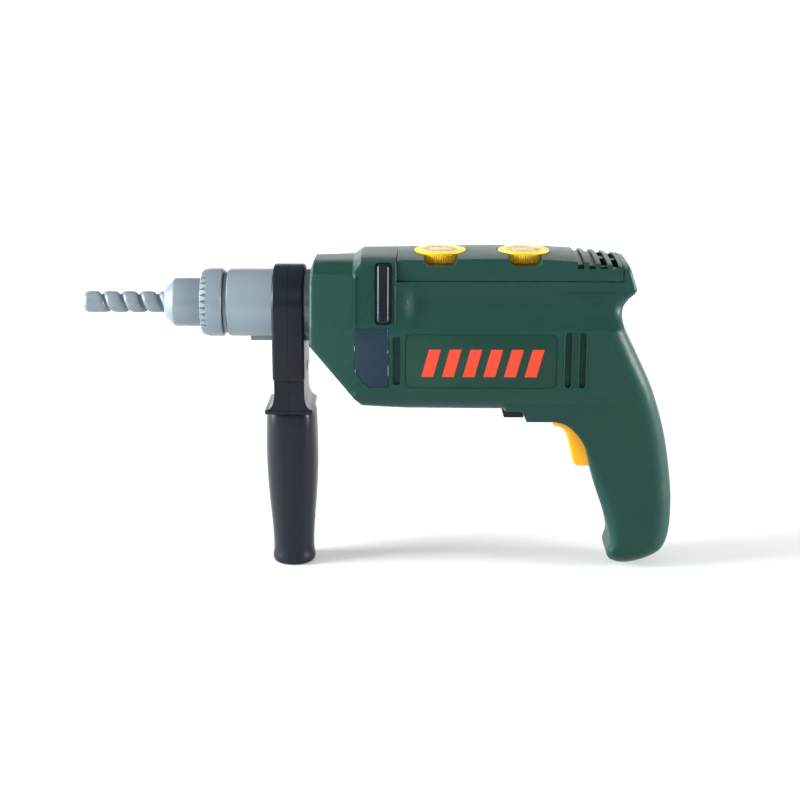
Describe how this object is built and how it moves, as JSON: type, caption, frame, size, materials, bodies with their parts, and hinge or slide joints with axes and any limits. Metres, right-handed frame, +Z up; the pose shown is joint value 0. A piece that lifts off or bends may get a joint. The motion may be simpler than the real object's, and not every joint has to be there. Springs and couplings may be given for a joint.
{
  "type": "toy power drill",
  "caption": "Toy hammer drill with spiral bit, toothed chuck, clamp-on side handle, pistol grip with trigger, top dials, slide switch and battery-driven gear train.",
  "frame": {"origin": "centre of the bounding box's bottom face, level with the feet of both handles", "axes": "-X towards the bit's tip, +X to the back of the grip; +Z up; +Y to the drill's right side, Y = 0 is the joint between the housing halves"},
  "size_m": [0.2876, 0.058, 0.1574],
  "materials": {
    "housing_green": "fine textured moulded plastic",
    "silver_plastic": "silver-grey satin moulded plastic",
    "handle_black": "smooth satin black plastic",
    "strip_black": "stippled black plastic",
    "switch_black": "matt black plastic",
    "dial_yellow": "satin yellow plastic",
    "trigger_yellow": "satin amber plastic",
    "smoked_clear": "smoked clear plastic",
    "label_film": "glossy green film with a plain red graphic",
    "steel": "plain steel",
    "bush_bronze": "sintered bronze",
    "gear_white": "natural acetal",
    "motor_steel": "plated steel can",
    "board_green": "fibreglass board",
    "cell_wrap": "plain printed sleeve without lettering",
    "speaker_black": "paper cone and steel basket",
    "lamp_red": "red lamp body"
  },
  "bodies": {
    "housing": {"left_housing": "housing_green", "right_housing": "housing_green", "top_cover": "housing_green", "neck_sleeve": "silver_plastic", "left_lens": "smoked_clear", "right_lens": "smoked_clear", "left_side_strip": "strip_black", "right_side_strip": "strip_black", "left_label": "label_film", "right_label": "label_film", "housing_screws": "steel", "motor_can": "motor_steel", "motor_end_cap": "gear_white", "idler_axle": "steel", "front_gear_plate": "gear_white", "rear_gear_plate": "gear_white", "front_plate_bush": "bush_bronze", "rear_plate_bush": "bush_bronze", "front_bush": "gear_white", "trigger_pin": "steel", "trigger_spring": "steel", "trigger_switch": "switch_black", "circuit_board": "board_green", "speaker": "speaker_black", "lamp": "lamp_red", "battery_cells": "cell_wrap", "battery_contacts": "steel"},
    "spindle": {"spindle_shaft": "steel", "chuck_nose": "silver_plastic", "chuck_ring": "silver_plastic", "drill_bit": "silver_plastic", "output_gear": "gear_white"},
    "idler": {"idler_gear": "gear_white"},
    "rotor": {"motor_rotor": "steel", "motor_pinion": "bush_bronze"},
    "side_handle": {"front_handle_shell": "handle_black", "rear_handle_shell": "handle_black", "handle_screws": "steel"},
    "trigger_lever": {"trigger": "trigger_yellow"},
    "front_dial_knob": {"front_dial": "dial_yellow", "front_dial_washer": "steel"},
    "rear_dial_knob": {"rear_dial": "dial_yellow", "rear_dial_washer": "steel"},
    "mode_slider": {"slide_switch": "switch_black"},
    "door": {"battery_door": "housing_green", "door_screw": "steel"}
  },
  "joints": [
    {"name": "spindle_turn", "type": "hinge", "parent": "housing", "child": "spindle", "pos_m": [0, 0, 0.131], "axis": [1, 0, 0], "continuous": true},
    {"name": "idler_turn", "type": "hinge", "parent": "housing", "child": "idler", "pos_m": [0, 0, 0.1118], "axis": [1, 0, 0], "continuous": true},
    {"name": "rotor_turn", "type": "hinge", "parent": "housing", "child": "rotor", "pos_m": [0, 0, 0.095], "axis": [1, 0, 0], "continuous": true},
    {"name": "handle_pull_off", "type": "slide", "parent": "housing", "child": "side_handle", "axis": [-1, 0, 0], "range_m": [0, 0.0215]},
    {"name": "trigger_squeeze", "type": "hinge", "parent": "housing", "child": "trigger_lever", "pos_m": [0.09, 0, 0.08], "axis": [0, -1, 0], "range_deg": [0, 9], "stiffness_Nm_per_rad": 0.25, "springref_deg": -5.73, "deforming": ["trigger_spring"]},
    {"name": "front_dial_turn", "type": "hinge", "parent": "housing", "child": "front_dial_knob", "pos_m": [0.0293, 0, 0.15], "axis": [0, 0, 1], "continuous": true},
    {"name": "rear_dial_turn", "type": "hinge", "parent": "housing", "child": "rear_dial_knob", "pos_m": [0.069, 0, 0.15], "axis": [0, 0, 1], "continuous": true},
    {"name": "mode_slide", "type": "slide", "parent": "housing", "child": "mode_slider", "axis": [-1, 0, 0], "range_m": [0, 0.004]},
    {"name": "door_lift_off", "type": "slide", "parent": "housing", "child": "door", "axis": [0, 1, 0], "range_m": [0, 0.03]}
  ],
  "couplings": [
    {"joint": "idler_turn", "follows": "spindle_turn", "ratio": -3},
    {"joint": "rotor_turn", "follows": "spindle_turn", "ratio": 7.5}
  ]
}
